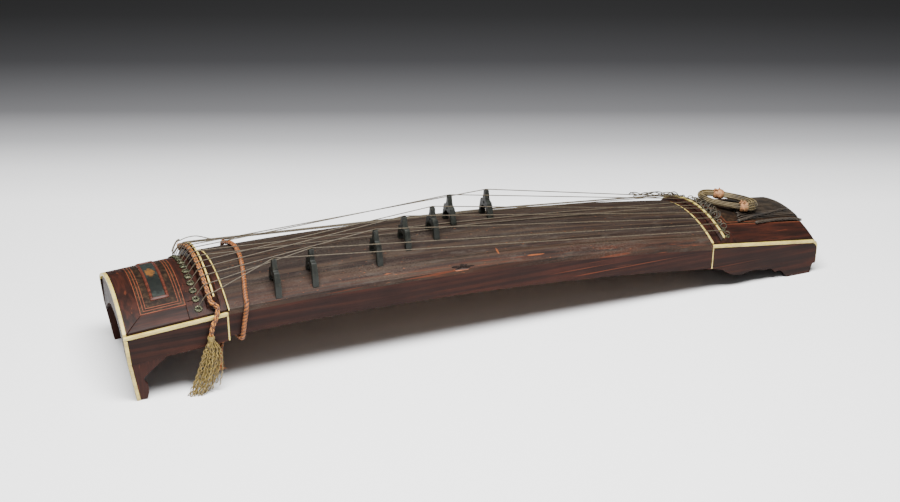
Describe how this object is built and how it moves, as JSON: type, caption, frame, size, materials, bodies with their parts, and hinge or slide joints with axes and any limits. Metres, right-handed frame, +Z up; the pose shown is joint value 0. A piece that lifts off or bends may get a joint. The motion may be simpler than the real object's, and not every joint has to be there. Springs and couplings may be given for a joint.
{
  "type": "table zither",
  "caption": "Long half-tube table zither with an arched soundboard, silk strings over movable bridges, bracketed head legs, inlaid head panel and a tasselled cord.",
  "frame": {"origin": "on the floor, in the middle of the instrument's length and width", "axes": "+X from the head with its panel to the tail with its coil of spare string, -Y the player's side, +Z up"},
  "size_m": [1.1499, 0.2631, 0.1929],
  "materials": {
    "rosewood": "dark rosewood, worn oil and wax finish",
    "soundboard_wood": "aged soft wood, brown-black and dusty",
    "inner_wood": "plain unfinished wood inside and below",
    "panel_wood": "brown burr panel, worn lacquer",
    "inlay_wood": "thin red-brown inlaid lines",
    "lacquer": "worn dark blue-green lacquer",
    "ivory": "yellowed bone strips, rubbed smooth",
    "bridge_wood": "blackened hardwood",
    "patinated_brass": "dark olive patina",
    "silk_string": "twisted silk, browned",
    "orange_silk": "thick twisted silk cord, orange",
    "gold_silk": "loose silk threads, olive gold",
    "tie_paper": "rolled paper strip, tan"
  },
  "bodies": {
    "instrument": {"soundboard": "soundboard_wood", "soundboard_head_line": "ivory", "front_side": "rosewood", "back_side": "rosewood", "base_board": "inner_wood", "cross_braces": "inner_wood", "end_blocks": "inner_wood", "head_cheek_front": "rosewood", "head_cheek_back": "rosewood", "head_legs": "rosewood", "head_leg_strips": "ivory", "head_joint_strips": "ivory", "head_edge_strips": "ivory", "head_end_strip": "ivory", "head_end_border": "rosewood", "head_border_front": "rosewood", "head_border_back": "rosewood", "eyelet_board": "rosewood", "head_panel": "panel_wood", "head_inlay": "inlay_wood", "plaque_frame": "inlay_wood", "plaque": "lacquer", "head_end_board": "rosewood", "head_nut": "rosewood", "head_nut_cap": "ivory", "head_eyelets": "patinated_brass", "tail_cheek_front": "rosewood", "tail_cheek_back": "rosewood", "tail_edge_strips": "ivory", "tail_joint_strips": "ivory", "tail_head_line": "ivory", "tail_cross_board": "rosewood", "tail_long_borders": "rosewood", "tail_panel": "panel_wood", "tail_inlay": "inlay_wood", "tail_end_board": "rosewood", "tail_nut": "rosewood", "tail_nut_cap": "ivory", "tail_eyelets": "patinated_brass", "slack_strings": "silk_string", "tail_strands": "silk_string", "string_coil": "silk_string", "coil_ties": "tie_paper", "tassel_cord": "orange_silk", "tassel": "gold_silk", "body_cord": "orange_silk", "string_01": "silk_string", "string_02": "silk_string", "string_03": "silk_string", "string_04": "silk_string", "string_05": "silk_string", "string_08": "silk_string", "string_09": "silk_string"},
    "movable_bridge_01": {"bridge_01": "bridge_wood"},
    "movable_bridge_02": {"bridge_02": "bridge_wood"},
    "movable_bridge_03": {"bridge_03": "bridge_wood"},
    "movable_bridge_04": {"bridge_04": "bridge_wood"},
    "movable_bridge_05": {"bridge_05": "bridge_wood"},
    "movable_bridge_08": {"bridge_08": "bridge_wood"},
    "movable_bridge_09": {"bridge_09": "bridge_wood"}
  },
  "joints": [
    {"name": "bridge_01_slide", "type": "slide", "parent": "instrument", "child": "movable_bridge_01", "axis": [0.9997, 0.0113, 0.02], "range_m": [-0.015, 0.015], "deforming": ["string_01"]},
    {"name": "bridge_02_slide", "type": "slide", "parent": "instrument", "child": "movable_bridge_02", "axis": [0.9999, 0.0095, 0.0082], "range_m": [-0.015, 0.015], "deforming": ["string_02"]},
    {"name": "bridge_03_slide", "type": "slide", "parent": "instrument", "child": "movable_bridge_03", "axis": [0.9999, 0.0076, -0.0127], "range_m": [-0.015, 0.015], "deforming": ["string_03"]},
    {"name": "bridge_04_slide", "type": "slide", "parent": "instrument", "child": "movable_bridge_04", "axis": [0.9997, 0.0057, -0.0234], "range_m": [-0.015, 0.015], "deforming": ["string_04"]},
    {"name": "bridge_05_slide", "type": "slide", "parent": "instrument", "child": "movable_bridge_05", "axis": [0.9994, 0.0038, -0.0339], "range_m": [-0.015, 0.015], "deforming": ["string_05"]},
    {"name": "bridge_08_slide", "type": "slide", "parent": "instrument", "child": "movable_bridge_08", "axis": [0.9991, -0.0019, -0.0425], "range_m": [-0.015, 0.015], "deforming": ["string_08"]},
    {"name": "bridge_09_slide", "type": "slide", "parent": "instrument", "child": "movable_bridge_09", "axis": [0.9984, -0.0038, -0.0556], "range_m": [-0.015, 0.015], "deforming": ["string_09"]}
  ]
}
